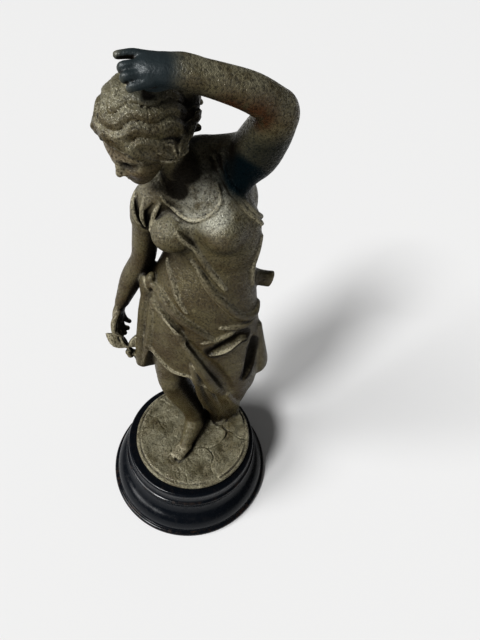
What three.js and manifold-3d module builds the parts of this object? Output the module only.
// Spelter figurine of a draped maiden, one hand raised to shade the brow, on a turned ebonised socle.
// Millimetres. The origin is under the middle of the socle, +Z is up, -Y is the front and
// +X is the viewer's right, so the figure's right arm and leg lie towards -X.
import * as THREE from 'three';
import { mergeVertices } from 'three/addons/utils/BufferGeometryUtils.js';
import Module from 'manifold-3d';

// Driving dimensions of the socle and of the ground disc that is cast with the figure.
const SOCLE_RADIUS = 70;
const SOCLE_HEIGHT = 50;
const SOCLE_SIDES = 48;
const DISC_RADIUS = 49;
const DISC_OFF_CENTRE = 1.5;
const DISC_THICKNESS = 4.5;
const SEAT_GAP = 0.3;

// Small sizes of the figure that its own proportions follow.
const HEAD_REACH = 36;
const TOE_RADIUS = 2.3;
const BUD_RADIUS = 2.5;
const SKIRT_HOLLOW = 14;

// How finely the figure's surface is sampled, and how many triangles it keeps.
const GRID_STEP = 1.6;
const FIGURE_TRIANGLES = 6700;
const FAR = 14;
const BLOCK = 5;
const SHORT_FIRST = 1e-4;

const DISC_BOTTOM = SOCLE_HEIGHT + SEAT_GAP;
const GROUND = DISC_BOTTOM + DISC_THICKNESS;
const FIELD_STEP_IN = 1.5;

// How rolls of cloth find the body under them.
const SETTLE_TURNS = 8;
const SETTLE_STRIDE = 4;
const PROBE = 0.2;

// Smooth joins of distance values: k is the width of the fillet.
function blend(a, b, k) {
  const overlap = Math.max(k - Math.abs(a - b), 0) / k;
  return Math.min(a, b) - overlap * overlap * k * 0.25;
}
const trim = (a, b, k) => -blend(-a, -b, k);
const clamp = (v, low, high) => Math.min(high, Math.max(low, v));
const radians = THREE.MathUtils.degToRad;

// Points of a smooth curve through stations of any width, such as [x, y, z, radius].
function spline(stations, steps) {
  const last = stations.length - 1;
  const made = [];
  for (let i = 0; i < last; i++) {
    const [p0, p1, p2, p3] = [-1, 0, 1, 2].map((k) => stations[clamp(i + k, 0, last)]);
    for (let s = 0; s < steps; s++) {
      const t = s / steps;
      made.push(p1.map((b, n) => {
        const [a, c, d] = [p0[n], p2[n], p3[n]];
        const bend = (-a + 3 * b - 3 * c + d) * t + (2 * a - 5 * b + 4 * c - d);
        return 0.5 * ((bend * t + (c - a)) * t + 2 * b);
      }));
    }
  }
  made.push(stations[last]);
  return made;
}

// A sphere that holds all of a curve, so that far points skip the slow part.
function boundOf(points, extra) {
  const box = new THREE.Box3();
  points.forEach((p) => box.expandByPoint(new THREE.Vector3(p[0], p[1], p[2])));
  const centre = box.getCenter(new THREE.Vector3());
  const radius = box.getSize(new THREE.Vector3()).length() / 2 + extra;
  return (x, y, z) => Math.hypot(x - centre.x, y - centre.y, z - centre.z) - radius;
}

// A rounded bar through [x, y, z, radius] stations, flattened along a direction if asked.
function bar(stations, { steps = 5, thin = 1, across = [0, 0, 1] } = {}) {
  const pts = spline(stations, steps);
  const bound = boundOf(pts, Math.max(...pts.map((p) => p[3])));
  const squash = 1 / (thin * thin) - 1;
  const even = Math.sqrt(thin);
  const n = new THREE.Vector3(...across).normalize();
  return (x, y, z) => {
    const far = bound(x, y, z);
    if (far > FAR) return far;
    let best = Infinity;
    for (let i = 0; i + 1 < pts.length; i++) {
      const [ax, ay, az, ar] = pts[i];
      const [bx, by, bz, br] = pts[i + 1];
      const dx = bx - ax;
      const dy = by - ay;
      const dz = bz - az;
      const along = (x - ax) * dx + (y - ay) * dy + (z - az) * dz;
      const t = clamp(along / (dx * dx + dy * dy + dz * dz), 0, 1);
      const qx = x - ax - t * dx;
      const qy = y - ay - t * dy;
      const qz = z - az - t * dz;
      const flat = qx * n.x + qy * n.y + qz * n.z;
      const d = Math.sqrt(qx * qx + qy * qy + qz * qz + squash * flat * flat) - ar - (br - ar) * t;
      if (d < best) best = d;
    }
    return best * even;
  };
}

// An ellipsoid along the axes of the frame that it is used in.
function ball(centre, radii) {
  const [cx, cy, cz] = centre;
  const [a, b, c] = radii;
  const reach = Math.max(a, b, c);
  return (x, y, z) => {
    const u = x - cx;
    const v = y - cy;
    const w = z - cz;
    const far = Math.hypot(u, v, w) - reach;
    if (far > FAR) return far;
    const level = Math.hypot(u / a, v / b, w / c);
    const slope = Math.hypot(u / (a * a), v / (b * b), w / (c * c));
    return slope < 1e-6 ? -Math.min(a, b, c) : ((level - 1) * level) / slope;
  };
}

// A stack of level oval sections [z, x, y, half width, half depth, turn], the turn in degrees.
// Its on(angle, z, lift) is a place above the wall, at an angle from the front, positive to +X.
function stack(sections) {
  const table = spline(sections, 12);
  const low = table[0][0];
  const high = table[table.length - 1][0];
  const section = (z) => {
    const level = clamp(z, low, high);
    let i = 0;
    while (i + 2 < table.length && table[i + 1][0] < level) i++;
    const t = (level - table[i][0]) / (table[i + 1][0] - table[i][0]);
    return table[i].map((v, n) => v + (table[i + 1][n] - v) * t);
  };
  const widest = Math.max(...table.map((row) => Math.max(row[3], row[4])));
  const bound = boundOf(table.map(([z, x, y]) => [x, y, z]), widest);
  const field = (x, y, z) => {
    const far = bound(x, y, z);
    if (far > FAR) return far;
    const [, cx, cy, a, b, turn] = section(z);
    const c = Math.cos(radians(turn));
    const s = Math.sin(radians(turn));
    const u = (x - cx) * c - (y - cy) * s;
    const v = (x - cx) * s + (y - cy) * c;
    const reach = Math.hypot(u / a, v / b);
    const slope = Math.hypot(u / (a * a), v / (b * b));
    const side = slope < 1e-6 ? -b : ((reach - 1) * reach) / slope;
    return trim(side, Math.max(low - z, z - high), 6);
  };
  field.on = (angle, z, lift) => {
    const [, cx, cy, a, b, turn] = section(z);
    const c = Math.cos(radians(turn));
    const s = Math.sin(radians(turn));
    const u = (a + lift) * Math.sin(radians(angle));
    const v = -(b + lift) * Math.cos(radians(angle));
    return [cx + u * c + v * s, cy - u * s + v * c, z];
  };
  return field;
}

// A part worked out in its own frame, whose axes are the rows.
function placed(origin, [right, ahead, up], part) {
  return (x, y, z) => {
    const u = x - origin[0];
    const v = y - origin[1];
    const w = z - origin[2];
    return part(u * right[0] + v * right[1] + w * right[2], u * ahead[0] + v * ahead[1] + w * ahead[2],
      u * up[0] + v * up[1] + w * up[2]);
  };
}

const joined = (k, ...parts) => (x, y, z) => {
  let d = parts[0](x, y, z);
  for (let i = 1; i < parts.length; i++) d = blend(d, parts[i](x, y, z), k);
  return d;
};

const carvedOut = (body, k, tool) => (x, y, z) => trim(body(x, y, z), -tool(x, y, z), k);

// Rolls of cloth that lie on a stack, each through stations [angle, z, radius].
const ROLL_LIFT = 0.3;
const rolls = (wall, k, ...courses) => joined(k, ...courses.map((course) => bar(
  course.map(([angle, z, r]) => [...wall.on(angle, z, ROLL_LIFT * r), r]))));

// Stations [x, y, z, radius] moved the shortest way on to the surface of a field.
function settled(field, stations) {
  return stations.map(([x, y, z, r]) => {
    const at = new THREE.Vector3(x, y, z);
    for (let turn = 0; turn < SETTLE_TURNS; turn++) {
      const d = field(at.x, at.y, at.z);
      const slope = new THREE.Vector3(field(at.x + PROBE, at.y, at.z) - d,
        field(at.x, at.y + PROBE, at.z) - d, field(at.x, at.y, at.z + PROBE) - d).normalize();
      at.addScaledVector(slope, -clamp(d, -SETTLE_STRIDE, SETTLE_STRIDE));
    }
    return [at.x, at.y, at.z, r];
  });
}

// Rolls of cloth, or tools that cut hollows, laid along the surface of a field.
const laid = (field, k, courses) => joined(k, ...courses.map((course) => (
  bar(settled(field, spline(course, 3)), { steps: 1 }))));

// The head, in its own frame: the figure's right, the way the face looks, and up.
const HEAD_CENTRE = [-26, -13, 337];
const HEAD_TURN = 44;
const HEAD_BOW = 30;
const HEAD_TILT = 6;

function headFrame() {
  const [turn, bow, tilt] = [HEAD_TURN, HEAD_BOW, HEAD_TILT].map(radians);
  const ahead = new THREE.Vector3(-Math.sin(turn), -Math.cos(turn), 0);
  const up = new THREE.Vector3(0, 0, 1);
  const front = ahead.clone().multiplyScalar(Math.cos(bow)).addScaledVector(up, -Math.sin(bow));
  const crown = ahead.clone().multiplyScalar(Math.sin(bow)).addScaledVector(up, Math.cos(bow));
  const side = new THREE.Vector3().crossVectors(front, crown);
  crown.applyAxisAngle(front, -tilt);
  side.applyAxisAngle(front, -tilt);
  return [side, front, crown].map((v) => v.toArray());
}

function face() {
  const skull = joined(6, ball([0, -1.5, 3], [13.6, 16, 15]), ball([0, 6, -8], [10, 10, 12.5]),
    ball([0, 10.6, -17.6], [4.2, 4.2, 3.6]));
  const cheeks = joined(4, ball([-6, 10, -7], [4.4, 4.6, 4.8]), ball([6, 10, -7], [4.4, 4.6, 4.8]));
  const brow = bar([[-8.4, 11.4, 1.8, 1.7], [0, 14.6, 1.5, 1.7], [8.4, 11.4, 1.8, 1.7]]);
  const nose = joined(1.2, bar([[0, 14.6, 0.5, 1.2], [0, 17.2, -5.4, 1.5], [0, 18, -7.2, 1.7]]),
    ball([-1.9, 15.9, -7.9], [1.3, 1.6, 1.2]), ball([1.9, 15.9, -7.9], [1.3, 1.6, 1.2]));
  const upper = bar([[-3.5, 13.6, -12.1, 0.6], [0, 15.7, -11.5, 1.1], [3.5, 13.6, -12.1, 0.6]]);
  const lower = bar([[-2.9, 13.6, -13.2, 0.6], [0, 15.3, -13.7, 1.2], [2.9, 13.6, -13.2, 0.6]]);
  const sockets = [-1, 1].map((s) => ball([s * 5.2, 15, -1.6], [3.4, 3, 2]));
  const eyes = [-1, 1].map((s) => ball([s * 5, 10.9, -2.2], [3, 2.7, 2.3]));
  return (x, y, z) => {
    let d = blend(skull(x, y, z), cheeks(x, y, z), 5);
    d = blend(d, brow(x, y, z), 3);
    sockets.forEach((hole) => { d = trim(d, -hole(x, y, z), 2.5); });
    eyes.forEach((eye) => { d = blend(d, eye(x, y, z), 0.8); });
    d = blend(d, nose(x, y, z), 1.8);
    d = blend(d, upper(x, y, z), 0.8);
    return blend(d, lower(x, y, z), 0.8);
  };
}

// Waved hair parted over the brow, rolled back round the face into a knot behind.
function hair() {
  const cap = ball([0, -2.5, 4.5], [17, 19.5, 17.8]);
  const roll = (s) => bar([[0, 11.6, 12.4, 2.8], [s * 8, 10.2, 8.6, 3.8], [s * 13, 5, 3, 4.2],
    [s * 14.4, -3, -4, 4.6], [s * 9.5, -13, -7, 5]]);
  const rolled = joined(2, roll(-1), roll(1));
  const knot = joined(3, ball([-2, -20, -4], [10, 9, 9.5]), ball([0, -14, -9], [7, 6, 6]));
  return (x, y, z) => {
    const hairline = y * 0.86 - z * 0.28 - 8.6 - 0.012 * x * x;
    const out = Math.abs(x);
    const wave = 1.25 * (out + y - 0.8 * z) + 1.3 * Math.sin(0.42 * (out - y));
    let d = trim(cap(x, y, z), hairline, 3) - 0.6 * Math.sin(wave);
    const twist = 8.4 * Math.atan2(z + 4, y) + 0.6 * out;
    d = blend(d, rolled(x, y, z) - 0.7 * Math.sin(twist), 1.4);
    const whorl = Math.atan2(z + 4, x) * 2 + Math.hypot(x, z + 4) * 1.1;
    return blend(d, knot(x, y, z) - 0.8 * Math.sin(whorl), 2);
  };
}

function head() {
  const bare = face();
  const locks = hair();
  const local = placed(HEAD_CENTRE, headFrame(), (x, y, z) => {
    const far = Math.hypot(x, y, z) - HEAD_REACH;
    return far > FAR ? far : blend(bare(x, y, z), locks(x, y, z), 0.8);
  });
  const ends = joined(2, bar([[-14, 2, 343, 4.4], [-7, 5, 343, 3], [-2, 6, 342, 1.4]]),
    bar([[-14, 4, 332, 4], [-7, 6, 331, 3], [-3, 6, 331, 1.6]]));
  const neck = bar([[-2, 5, 300, 10.5], [-8, 2, 312, 9], [-18, -4, 327, 8.6]]);
  return joined(3, joined(2, local, ends), neck);
}

// Torso under the clinging chemise, with a sleeve on the right shoulder.
const TRUNK = stack([
  [196, 4, 5, 25, 18, 8], [212, 4.5, 5, 29, 20, 8], [230, 5, 4.5, 28, 19, 10],
  [246, 5.5, 4, 25.5, 17.5, 13], [260, 6, 3.5, 25.5, 17, 16], [274, 6, 2.5, 26.5, 17.5, 18],
  [288, 5, 2.5, 26.5, 17, 18], [299, 2, 3, 23, 14, 16], [308, -1, 3.5, 16, 11, 14], [315, -3, 4, 10, 8, 14],
]);

function torso() {
  const belly = joined(8, TRUNK, ball([2, -8, 231], [18, 10.5, 20]));
  const shoulders = joined(5, bar([[-6, 4, 308, 6.5], [-16, 4, 300, 7], [-24, 4, 291, 8.4]]),
    bar([[-2, 5, 308, 6.5], [9, 5, 307, 8], [16, 5, 304, 9]]),
    bar([[-10, 7, 314, 8], [-2, 8, 316, 9], [6, 8.5, 316.6, 9], [15, 7, 318.5, 9.5]]));
  const bust = joined(3, ball([-14.5, -8, 281], [10.6, 9.6, 10.6]),
    ball([12, -12.5, 287], [10.4, 10.2, 10.4]));
  const sleeve = bar([[-18, 4, 298, 9.6], [-24.5, 4, 289, 10.2], [-27.5, 5.5, 281, 9.4]]);
  return joined(2, joined(5, joined(7, belly, shoulders), bust), sleeve);
}

// One finger: knuckle, middle joint and tip, with its thickness.
const finger = (root, middle, tip, r) => bar([[...root, r], [...middle, r * 0.96], [...tip, r * 0.78]]);

// The figure's left arm is raised, with the forearm across above the brow.
function raisedArm() {
  const arm = joined(3,
    bar([[15, 6, 313, 10], [22.5, 3, 321, 12], [27, -3, 334, 11], [29.5, -10.5, 346.5, 8.8]]),
    bar([[29, -12, 350.5, 7.8], [18, -16.5, 357.5, 7.4], [6, -20, 362, 6.6], [-8, -23.5, 366, 5.8]]));
  const armpit = joined(5, bar([[10, -5, 295, 5.5], [16, -3, 306, 6], [21, 0, 316, 6]]),
    bar([[22, 10, 276, 6.5], [23, 9, 294, 6], [18, 7, 306, 6]]));
  const palm = bar([[-7, -23.5, 366, 5.8], [-14, -25, 367, 6.4], [-19.5, -26, 367.2, 5.8]],
    { thin: 0.7, across: [0, -0.45, 1] });
  const fingers = joined(0.6,
    finger([-19, -22.5, 369.4], [-25.5, -23.2, 370.4], [-31, -24.4, 370], 1.9),
    finger([-20, -25.5, 368.4], [-28.2, -28, 368], [-29.6, -27, 366.4], 1.9),
    finger([-20, -28, 366.2], [-27.4, -30.5, 365.7], [-28.4, -29.5, 364.2], 1.9),
    finger([-19.5, -29.8, 364], [-25.4, -31.5, 362.8], [-26.6, -30, 361.2], 1.8),
    finger([-12, -26, 363.5], [-17, -26, 361.4], [-21, -25, 360.2], 2));
  return joined(1.5, joined(3, joined(3.5, arm, armpit), palm), fingers);
}

// The right arm hangs beside the hip.
function hangingArm() {
  const arm = bar([[-22, 4, 292, 8.6], [-27.5, 6, 278, 8], [-30, 9.5, 261, 7], [-32, 12, 245, 6.4],
    [-40, 12.5, 228, 6.3], [-47.5, 11.5, 209, 4.5]]);
  const palm = bar([[-47.5, 11.5, 209, 4.4], [-50.5, 9, 199, 5.6], [-51, 6.5, 191, 5.2]],
    { thin: 0.6, across: [1, -0.4, 0] });
  const fingers = joined(0.6,
    finger([-51, 2.5, 192], [-49.5, -0.5, 185], [-46.5, 0.5, 180], 2.1),
    finger([-50.5, 5.5, 190], [-48.5, 3.5, 182.5], [-45.5, 4.5, 178.5], 2.2),
    finger([-50, 8.5, 190], [-47.5, 7.5, 182.5], [-44.5, 8.5, 179.5], 2.1),
    finger([-49, 11.5, 191.5], [-46.5, 11.5, 185], [-44, 12, 182], 1.9),
    finger([-50.5, 5, 200], [-52.5, -0.5, 194], [-51, -2.5, 187], 2.2));
  return joined(1.5, joined(3, arm, palm), fingers);
}

// A sprig hangs from the fingers: a stem, two leaves and a bunch of buds against the skirt.
function sprig() {
  const stem = bar([[-47, 2, 184, 1.3], [-48, 3, 176, 1.3], [-45, 5, 166, 1.4], [-42, 7, 158, 1.4]]);
  const leaves = joined(1, bar([[-47, 4, 171, 1.6], [-53, 4.5, 175, 5], [-60, 5, 181.5, 0.9]],
    { thin: 0.34, across: [0.5, -0.8, 0.35] }),
  bar([[-45, 5, 170, 1.4], [-41, 3, 177, 4], [-37, 4, 186, 0.9]], { thin: 0.4, across: [0.4, -0.9, 0.2] }));
  const bud = (at) => ball(at, [BUD_RADIUS, BUD_RADIUS, BUD_RADIUS]);
  const buds = [[-46, 3, 165], [-42, 4, 163], [-45.5, 5, 159.5], [-41, 6, 157], [-39, 3, 166]].map(bud);
  return joined(1, stem, leaves, joined(0.6, ...buds));
}

// The right leg is bare from above the knee; the left one is under the drapery.
function bareLeg() {
  const leg = bar([[-8, 5, 212, 16.5], [-12, 4, 190, 16], [-15, 2.5, 164, 14], [-16, 1.5, 140, 11],
    [-12, 6, 118, 11.6], [-5, 9, 94, 9.6], [0, 10.5, 76, 8]]);
  const kneecap = ball([-17.5, -5.5, 141], [6, 5, 7]);
  const foot = joined(5, bar([[6, 16, 61, 6], [2.5, 6, 63, 7.4], [-1.5, -4, 61.5, 6.6], [-5, -13, 59, 4.8]],
    { thin: 0.85 }), bar([[0.5, 10.5, 76, 7.6], [1.5, 8, 66, 7.4]]));
  const toe = (n) => bar([[-1.8 - 1.9 * n, -14.8 + 0.6 * n, 58.4, TOE_RADIUS - 0.15 * n],
    [-9 - 1.6 * n, -24.6 + 1.1 * n, 57.2, TOE_RADIUS - 0.3 - 0.15 * n]]);
  return joined(1.2, joined(3, joined(5, leg, kneecap), foot), joined(0.5, ...[0, 1, 2, 3, 4].map(toe)));
}

// The overskirt round the hips, hollow below its hem, and the drapery down the left leg.
const SKIRT_WALL = stack([
  [138, 4, 8, 43, 24, 0], [158, 4, 7, 42, 25, 0], [175, 3.5, 6, 40, 25, 0], [195, 2, 5, 38, 24.5, 4],
  [215, 2, 5, 36, 24, 6], [236, 3.5, 4.5, 31.5, 21.5, 8], [252, 5, 4, 27, 18.5, 12],
  [262, 6, 3.5, 24, 15, 14],
]);

// The hem rises over the bare thigh and hangs lower at the sides and behind: [angle, z].
const HEM = spline([[-180, 134], [-120, 140], [-84, 147], [-60, 178.5], [-40, 173], [-26, 168], [-10, 164.5],
  [20, 152], [50, 138], [90, 147], [130, 140], [180, 134]], 6);

// The oval that the hem's angles are taken round.
const HEM_OVAL = { x: 4, y: 6, halfWidth: 41, halfDepth: 25 };

function hemAt(angle) {
  const i = HEM.findIndex((p, n) => n > 0 && p[0] >= angle);
  const [a, b] = [HEM[i - 1], HEM[i]];
  return a[1] + ((b[1] - a[1]) * (angle - a[0])) / (b[0] - a[0]);
}

function skirt() {
  const round = (x, y, z) => {
    const u = (x - HEM_OVAL.x) / HEM_OVAL.halfWidth;
    const v = (HEM_OVAL.y - y) / HEM_OVAL.halfDepth;
    const vault = SKIRT_HOLLOW * clamp(1 - Math.hypot(u, v), 0, 1);
    const hem = hemAt(THREE.MathUtils.radToDeg(Math.atan2(u, v))) + vault;
    return trim(SKIRT_WALL(x, y, z), hem - z, 2.5);
  };
  const column = bar([[22, 5, 200, 17], [25, 1, 168, 16.5], [26, 0, 142, 15.5], [26, 7, 115, 13],
    [27, 15, 92, 11.5], [27, 22, 72, 10.5], [26.5, 26, 54, 12]]);
  const curtain = bar([[4, -13, 178, 6], [6, -9, 152, 6.5], [11, 0, 122, 6.5], [16, 10, 94, 6],
    [21, 19, 70, 6], [23, 23, 54, 7]]);
  return joined(6, round, joined(5, column, curtain));
}

// Folds that hang from the waist at the sides and behind, and pulls across the back of the chemise.
function hungFolds() {
  const behind = [-160, -136, -112, 112, 138, 164].map((at, i) => [[at, 240, 1.6], [at + 5 * (i % 2), 205, 3],
    [at - 4 * (i % 3), 170, 3.8], [at + 4, 140, 3.2]]);
  const sides = [[[-88, 232, 3.4], [-80, 204, 3.6], [-86, 174, 4.4], [-94, 151, 4]],
    [[-66, 224, 1.6], [-62, 206, 2.4], [-68, 184, 2.6]],
    [[80, 204, 2.4], [84, 182, 4.6], [88, 162, 6.4], [94, 148, 4]]];
  const pulls = [[[64, 280, 0.8], [58, 262, 1.2], [62, 246, 0.8]],
    [[120, 284, 1.2], [130, 262, 2], [150, 240, 1.4]], [[180, 290, 1.2], [170, 266, 2], [176, 240, 1.4]],
    [[-120, 284, 1.2], [-140, 262, 2], [-150, 240, 1.4]]];
  return joined(1.2, rolls(SKIRT_WALL, 1.2, ...sides, ...behind), rolls(TRUNK, 1.2, ...pulls));
}

// Folds down the left leg, spread where they reach the ground.
function tails() {
  return joined(3, ...[-110, -62, -20, 22, 70, 120, 172].map((at, i) => {
    const [c, s] = [Math.sin(radians(at)), -Math.cos(radians(at))];
    const edge = (z, y, r, w) => [26.5 + r * c, y + r * s, z, w];
    return bar([edge(150, 1, 14, 2), edge(112, 8, 11.5, 2.4 + (i % 2)), edge(84, 18, 9, 3),
      edge(57, 26, 10 + 1.5 * (i % 3), 3.4)]);
  }));
}

// The overfold's edge, the rolls across the lap, the hanging tongue, the pouch and the curtain's ridges.
const LAP = [
  [[-4, -12, 266, 1], [6, -16, 251, 2], [15, -16, 239, 2.4], [22, -13, 229, 2.6], [28, -9, 223, 2.8],
    [33, -5, 221, 2.6], [37, 1, 224, 1.8]],
  [[-11, -18, 288, 0.8], [-1, -14, 274, 1.6], [6, -14, 262, 1.8], [15, -16, 250, 0.8]],
  [[-20, -3, 257, 1], [-15, -10, 248, 1.8], [-11, -14, 240, 1.6], [-6, -17, 232, 0.8]],
  [[-29, 2, 238, 2], [-22, -9, 236, 3], [-13, -15, 229, 3.2], [0, -19, 219, 2.8], [12, -19, 208, 1.2]],
  [[-27, -5, 227, 2.2], [-15, -17, 219, 3], [-7, -19, 205, 3], [0, -19, 190, 3.2], [7, -19, 174, 4],
    [13, -17, 160, 5], [18, -15, 148, 5]],
  [[14, -16, 220, 1], [23, -13, 218, 1.8], [31, -9, 216, 1.8], [37, -4, 217, 1]],
  [[4, -20, 206, 0.8], [14, -20, 210, 1.6], [22, -18, 214, 1.4]],
  [[8, -20, 193, 1], [15, -20, 195, 1.8], [21, -18, 198, 1.8], [28, -15, 203, 1.2], [33, -12, 202, 0.8]],
  [[-29, -2, 192, 0.8], [-24, -12, 181, 1.2], [-15, -17, 171, 1.2], [-1, -18, 169, 1]],
  [[-1, -19, 183, 2], [2, -18, 164, 2.6], [5, -11, 140, 3], [11, 2, 105, 3.4], [18, 14, 74, 3.6],
    [21, 19, 57, 4]],
  [[8, -17, 158, 2], [15, -9, 128, 3], [24, 4, 96, 3], [28, 14, 72, 3.4]],
  [[24, -16, 146, 2], [32, -7, 118, 3], [36, 10, 86, 3], [37, 18, 64, 3.4]],
];

// Hollows beside the rolls, in the pouch and beside the panel on the hip.
const HOLLOWS = [
  [[-28, -4, 233, 0.8], [-21, -13, 229, 1.4], [-16, -16, 224, 1.4], [-9, -18, 216, 0.8]],
  [[-6, -19, 206, 1], [4, -20, 190, 1.8], [11, -19, 178, 2.6], [18, -18, 163, 2.4], [22, -17, 152, 1.4]],
  [[9, -20, 197, 1], [15, -20, 200, 3], [20, -19, 203, 3.6], [27, -16, 208, 2], [32, -13, 207, 1]],
  [[37, -8, 199, 1.6], [38, -9, 184, 3.4], [38, -12, 171, 2.6], [35, -14, 162, 1.4]],
  [[7, -18, 168, 1.2], [9, -17, 156, 2.4], [14, -14, 143, 2.2]],
];

// Neckline and the double band of the armhole.
const BANDS = [
  [[-19, -5, 301, 1], [-15, -7, 296, 1.3], [-5, -11, 292, 1.4], [4, -13, 297, 1.3], [9, -11, 304, 1.2],
    [7, -7, 310, 1]],
  [[4, -1, 321, 1.3], [10, -5, 312, 1.5], [19, -9, 302, 1.6], [25, -9, 296, 1.5], [31, -5, 288, 1.3]],
  [[8, -1, 322, 1.3], [13, -4, 311, 1.6], [20, -7, 304, 1.6], [28, -6, 295, 1.6], [32, -1, 290, 1.3]],
];

// Cloth gathered at the waist in front of the hanging arm, and the sash's end at the left hip.
const bunch = () => joined(1.5, ball([-29, 2, 242], [5.5, 5, 5]), ball([-32, 4, 235], [4.5, 5, 6]),
  ball([-25, -2, 247], [4, 4, 4]), ball([-34, 4, 227], [3.5, 4.5, 6]));
const sash = () => bar([[28, 5, 242, 7], [36, 7, 239, 5.6], [42, 8, 237, 5.8]],
  { thin: 0.8, across: [0, 1, 0] });

// Rough ground under the feet, raised behind the drapery.
function ground() {
  return (x, y, z) => {
    const out = Math.hypot(x - DISC_OFF_CENTRE, y);
    const lumps = 0.8 * Math.sin(x * 0.21 + 1) * Math.cos(y * 0.17) + 0.5 * Math.sin(x * 0.43 - y * 0.37);
    const rise = 4 * Math.exp(-((x - 30) ** 2 + (y - 22) ** 2) / 180);
    const top = z - (GROUND + 0.6 + lumps + rise);
    return trim(top * 0.9, out - (DISC_RADIUS - 2.5), 1.5);
  };
}

// The whole figure: body, folds and hollows, then limbs, bands, sprig and ground.
function figure() {
  const body = joined(3, torso(), skirt());
  const loose = joined(2.5, joined(4, body, tails()), hungFolds());
  const draped = joined(1.6, loose, laid(body, 0.8, LAP), bunch(), sash());
  const carved = carvedOut(draped, 1.6, laid(body, 0.8, HOLLOWS));
  const clad = joined(2.5, carved, joined(3, head(), raisedArm(), hangingArm(), bareLeg()));
  const whole = joined(2, joined(1, clad, laid(clad, 0.4, BANDS), sprig()), ground());
  return (x, y, z) => Math.max(whole(x, y, z), DISC_BOTTOM + FIELD_STEP_IN - z);
}

// A field sampled on a grid; blocks of cells that lie far from the surface take one value.
function sampled(field, low, high, step) {
  const n = [0, 1, 2].map((m) => Math.ceil((high[m] - low[m]) / step) + 1);
  const values = new Float32Array(n[0] * n[1] * n[2]);
  const at = (i, j, k) => field(low[0] + i * step, low[1] + j * step, low[2] + k * step);
  const half = (BLOCK - 1) / 2;
  const reach = BLOCK * step * 1.3;
  for (let k0 = 0; k0 < n[2]; k0 += BLOCK) {
    for (let j0 = 0; j0 < n[1]; j0 += BLOCK) {
      for (let i0 = 0; i0 < n[0]; i0 += BLOCK) {
        const middle = at(i0 + half, j0 + half, k0 + half);
        const far = Math.abs(middle) > reach;
        for (let k = k0; k < Math.min(k0 + BLOCK, n[2]); k++) {
          for (let j = j0; j < Math.min(j0 + BLOCK, n[1]); j++) {
            for (let i = i0; i < Math.min(i0 + BLOCK, n[0]); i++) {
              values[(k * n[1] + j) * n[0] + i] = far ? middle : at(i, j, k);
            }
          }
        }
      }
    }
  }
  return { n, values };
}

// A closed mesh of a field: each cell is six tetrahedra round its diagonal, cut where the sign changes.
function meshed(field, low, high, step) {
  const { n, values } = sampled(field, low, high, step);
  const offset = (bits) => (bits & 1) + ((bits >> 1) & 1) * n[0] + (bits >> 2) * n[0] * n[1];
  const tetrahedra = [[1, 3], [3, 2], [2, 6], [6, 4], [4, 5], [5, 1]].map(([p, q]) => [0, p, q, 7]);
  const positions = [];
  const index = [];
  const made = new Map();
  const crossing = (cell, p, q) => {
    const [from, to] = p < q ? [p, q] : [q, p];
    const start = cell + offset(from);
    const key = start * 8 + (to - from);
    if (!made.has(key)) {
      const [a, b] = [values[start], values[cell + offset(to)]];
      const t = clamp(a / (a - b), 0.02, 0.98);
      const way = to - from;
      const corner = [start % n[0], Math.floor(start / n[0]) % n[1], Math.floor(start / (n[0] * n[1]))];
      made.set(key, positions.length / 3);
      corner.forEach((c, m) => positions.push(low[m] + (c + t * ((way >> m) & 1)) * step));
    }
    return made.get(key);
  };
  for (let cell = 0; cell < values.length - offset(7); cell++) {
    if (cell % n[0] === n[0] - 1 || Math.floor(cell / n[0]) % n[1] === n[1] - 1) continue;
    const solid = [0, 1, 2, 3, 4, 5, 6, 7].map((bits) => values[cell + offset(bits)] < 0);
    if (solid.every((s) => s === solid[0])) continue;
    tetrahedra.forEach((corners) => {
      const inner = [0, 1, 2, 3].filter((c) => solid[corners[c]]);
      const outer = [0, 1, 2, 3].filter((c) => !solid[corners[c]]);
      const cut = (c, d) => crossing(cell, corners[c], corners[d]);
      if (inner.length === 0 || outer.length === 0) return;
      const order = [...inner, ...outer];
      const swaps = order.reduce((sum, c, i) => sum + order.slice(i).filter((d) => d < c).length, 0);
      let ring;
      if (inner.length === 1) ring = outer.map((c) => cut(inner[0], c));
      if (inner.length === 3) ring = inner.map((c) => cut(c, outer[0]));
      if (inner.length === 2) {
        const [[a, b], [c, d]] = [inner, outer];
        ring = [cut(a, c), cut(a, d), cut(b, d), cut(b, c)];
      }
      if (swaps % 2 === 1) ring.reverse();
      for (let i = 2; i < ring.length; i++) index.push(ring[0], ring[i - 1], ring[i]);
    });
  }
  return { positions, index };
}

// Error of a point against the planes met at a vertex: the ten sums of a symmetric form.
function addPlane(sums, at, [a, b, c], d, weight) {
  [a * a, a * b, a * c, a * d, b * b, b * c, b * d, c * c, c * d, d * d].forEach((v, n) => {
    sums[at * 10 + n] += v * weight;
  });
}

function planeError(sums, at, x, y, z) {
  const q = sums.subarray(at * 10, at * 10 + 10);
  return q[0] * x * x + q[4] * y * y + q[7] * z * z + q[9]
    + 2 * (q[1] * x * y + q[2] * x * z + q[5] * y * z + q[3] * x + q[6] * y + q[8] * z);
}

// The point of least error against those planes, or null where they don't fix one.
function leastError(sums, a, b) {
  const q = Array.from({ length: 10 }, (_, n) => sums[a * 10 + n] + sums[b * 10 + n]);
  const form = new THREE.Matrix3(q[0], q[1], q[2], q[1], q[4], q[5], q[2], q[5], q[7]);
  const size = Math.max(q[0], q[4], q[7]);
  if (form.determinant() < 1e-3 * size ** 3) return null;
  return new THREE.Vector3(-q[3], -q[6], -q[8]).applyMatrix3(form.invert()).toArray();
}

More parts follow.
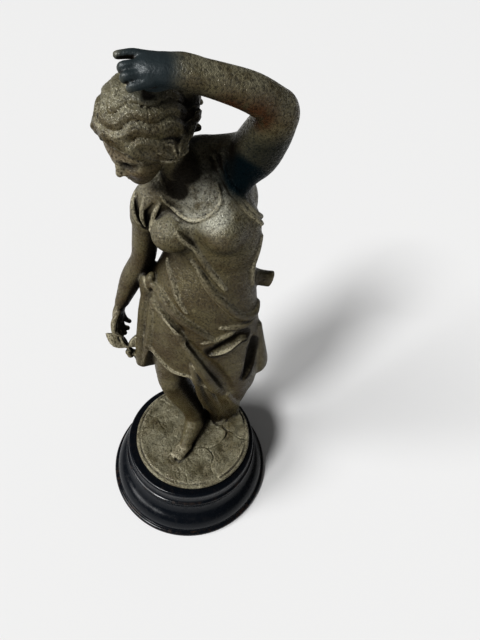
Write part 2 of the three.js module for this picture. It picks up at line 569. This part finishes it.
// Edges that lead to the least error are closed first; the list is a binary heap.
function heapPush(heap, item) {
  let i = heap.push(item) - 1;
  while (i > 0) {
    const up = (i - 1) >> 1;
    if (heap[up].cost <= item.cost) break;
    heap[i] = heap[up];
    i = up;
  }
  heap[i] = item;
}

function heapPop(heap) {
  const top = heap[0];
  const item = heap.pop();
  let i = 0;
  while (heap.length > 0) {
    let next = 2 * i + 1;
    if (next >= heap.length) break;
    if (next + 1 < heap.length && heap[next + 1].cost < heap[next].cost) next++;
    if (heap[next].cost >= item.cost) break;
    heap[i] = heap[next];
    i = next;
  }
  if (heap.length > 0) heap[i] = item;
  return top;
}

// The mesh with fewer triangles, most where care(x, y, z) is high; it stays closed.
function thinned({ positions, index }, target, care) {
  const p = Float64Array.from(positions);
  const tri = Int32Array.from(index);
  const sums = new Float64Array((p.length / 3) * 10);
  const faces = Array.from({ length: p.length / 3 }, () => new Set());
  const version = new Int32Array(p.length / 3);
  const point = (v) => [p[3 * v], p[3 * v + 1], p[3 * v + 2]];
  const normal = (a, b, c) => {
    const u = b.map((v, n) => v - a[n]);
    const w = c.map((v, n) => v - a[n]);
    return [u[1] * w[2] - u[2] * w[1], u[2] * w[0] - u[0] * w[2], u[0] * w[1] - u[1] * w[0]];
  };
  const corners = (f) => [tri[3 * f], tri[3 * f + 1], tri[3 * f + 2]];
  for (let f = 0; f < tri.length / 3; f++) {
    const [a, b, c] = corners(f).map(point);
    const n = normal(a, b, c);
    const area = Math.hypot(...n) || 1e-12;
    const unit = n.map((v) => v / area);
    const d = -(unit[0] * a[0] + unit[1] * a[1] + unit[2] * a[2]);
    corners(f).forEach((v) => {
      addPlane(sums, v, unit, d, area * care(...a));
      faces[v].add(f);
    });
  }
  const heap = [];
  const offer = (a, b) => {
    const [pa, pb] = [point(a), point(b)];
    const choices = [pa, pb, pa.map((v, n) => (v + pb[n]) / 2)];
    const least = leastError(sums, a, b);
    if (least) choices.push(least);
    const costs = choices.map((q) => planeError(sums, a, ...q) + planeError(sums, b, ...q));
    const best = costs.indexOf(Math.min(...costs));
    const gap = Math.hypot(pa[0] - pb[0], pa[1] - pb[1], pa[2] - pb[2]);
    const cost = costs[best] + SHORT_FIRST * gap;
    heapPush(heap, { cost, a, b, to: choices[best], va: version[a], vb: version[b] });
  };
  const around = (v) => {
    const ring = new Set();
    faces[v].forEach((f) => corners(f).forEach((c) => ring.add(c)));
    ring.delete(v);
    return ring;
  };
  faces.forEach((_, v) => around(v).forEach((w) => { if (v < w) offer(v, w); }));
  const turns = (v, other, to) => [...faces[v]].some((f) => {
    const at = corners(f);
    if (at.includes(other)) return false;
    const before = normal(...at.map(point));
    const after = normal(...at.map((c) => (c === v ? to : point(c))));
    const dot = before[0] * after[0] + before[1] * after[1] + before[2] * after[2];
    return dot <= 0.2 * Math.hypot(...before) * Math.hypot(...after);
  });
  let left = tri.length / 3;
  while (left > target && heap.length > 0) {
    const { a, b, to, va, vb } = heapPop(heap);
    if (version[a] !== va || version[b] !== vb) continue;
    const ring = around(a);
    const shared = [...around(b)].filter((v) => ring.has(v));
    if (shared.length !== 2 || turns(a, b, to) || turns(b, a, to)) continue;
    faces[b].forEach((f) => {
      if (corners(f).includes(a)) {
        corners(f).forEach((c) => faces[c].delete(f));
        left--;
      } else {
        tri[3 * f + corners(f).indexOf(b)] = a;
        faces[a].add(f);
      }
    });
    faces[b].clear();
    for (let n = 0; n < 10; n++) sums[a * 10 + n] += sums[b * 10 + n];
    p.set(to, 3 * a);
    version[a]++;
    version[b] = -1;
    around(a).forEach((v) => offer(a, v));
  }
  const kept = new Set();
  faces.forEach((list) => list.forEach((f) => kept.add(f)));
  return { positions: Array.from(p), index: [...kept].flatMap(corners) };
}

const FIELD_LOW = [-64, -52, 48];
const FIELD_HIGH = [60, 52, 380];
// Head and hands keep the smallest facets, then the front of the drapery and the foot.
function care(x, y, z) {
  if (z > 312 && x < 0) return 4;
  if (z < 57) return 0.3;
  if (x < -38 && z < 215) return 2;
  return y < 0 ? 1.6 : 0.8;
}

// Points of a round stretch of a profile, about a centre, between two angles in degrees.
function arc(cx, cy, r, from, to, steps) {
  return Array.from({ length: steps + 1 }, (_, i) => {
    const angle = radians(from + ((to - from) * i) / steps);
    return new THREE.Vector2(cx + r * Math.cos(angle), cy + r * Math.sin(angle));
  });
}

// A turned body: the profile is drawn in radius and height.
function turned(profile) {
  const geometry = new THREE.LatheGeometry(profile, SOCLE_SIDES);
  geometry.rotateX(Math.PI / 2);
  return closed(geometry);
}

// Shared vertices merged, so that the surface is closed.
function closed(geometry) {
  geometry.deleteAttribute('normal');
  geometry.deleteAttribute('uv');
  return mergeVertices(geometry, 1e-4);
}

// The socle's outline: foot bead, a swelling that runs up into a hollow, fillet and drum.
function socleProfile() {
  const drum = SOCLE_RADIUS - 15.4;
  const bead = 2.6;
  const turnOver = 55;
  const swell = { x: SOCLE_RADIUS - 18, z: 5.6, r: 14.8 };
  const hollow = { r: 14, x: 0, z: 0 };
  hollow.x = swell.x + (swell.r + hollow.r) * Math.cos(radians(turnOver));
  hollow.z = swell.z + (swell.r + hollow.r) * Math.sin(radians(turnOver));
  return [new THREE.Vector2(0, 0), ...arc(SOCLE_RADIUS - bead, bead, bead, -90, 90, 4),
    ...arc(swell.x, swell.z, swell.r, 0, turnOver, 5),
    ...arc(hollow.x, hollow.z, hollow.r, turnOver + 180, 176, 4).slice(1),
    ...arc(drum + 0.8, 37.4, 1.4, -60, 70, 2), new THREE.Vector2(drum, 39.5),
    ...arc(drum - 2.4, SOCLE_HEIGHT - 2.4, 2.4, 0, 90, 3), new THREE.Vector2(0, SOCLE_HEIGHT)];
}

function discProfile() {
  const rim = arc(DISC_RADIUS - 1.8, GROUND - 1.8, 1.8, -20, 150, 5);
  return [new THREE.Vector2(0, DISC_BOTTOM), new THREE.Vector2(DISC_RADIUS - 0.8, DISC_BOTTOM), ...rim,
    new THREE.Vector2(DISC_RADIUS - 4, GROUND - 0.4), new THREE.Vector2(0, GROUND - 0.4)];
}

const wasm = await Module();
wasm.setup();

function solid(geometry) {
  const vertProperties = Float32Array.from(geometry.attributes.position.array);
  const triVerts = Uint32Array.from(geometry.index.array);
  return new wasm.Manifold(new wasm.Mesh({ numProp: 3, vertProperties, triVerts }));
}

function geometryOf(body) {
  const mesh = body.getMesh();
  const geometry = new THREE.BufferGeometry();
  geometry.setAttribute('position', new THREE.BufferAttribute(Float32Array.from(mesh.vertProperties), 3));
  geometry.setIndex(new THREE.BufferAttribute(Uint32Array.from(mesh.triVerts), 1));
  geometry.computeVertexNormals();
  return geometry;
}

// The casting: the figure's skin joined to its ground disc.
function casting() {
  const skin = thinned(meshed(figure(), FIELD_LOW, FIELD_HIGH, GRID_STEP), FIGURE_TRIANGLES, care);
  const geometry = new THREE.BufferGeometry();
  geometry.setAttribute('position', new THREE.Float32BufferAttribute(skin.positions, 3));
  geometry.setIndex(skin.index);
  const disc = turned(discProfile());
  disc.translate(DISC_OFF_CENTRE, 0, 0);
  const whole = solid(geometry).add(solid(disc));
  const bodies = whole.decompose().sort((a, b) => b.volume() - a.volume());
  return geometryOf(bodies[0]);
}

const spelter = new THREE.MeshStandardMaterial({ color: 0x5a5646, roughness: 0.55, metalness: 0.6 });
const ebonised = new THREE.MeshStandardMaterial({ color: 0x14151a, roughness: 0.3, metalness: 0 });

const maiden = new THREE.Mesh(casting(), spelter);
maiden.name = 'maiden_figure';

const socle = new THREE.Mesh(turned(socleProfile()), ebonised);
socle.geometry.computeVertexNormals();
socle.name = 'socle';

const figurine = new THREE.Group();
figurine.name = 'spelter_maiden_figurine';
figurine.add(maiden, socle);

export default figurine;
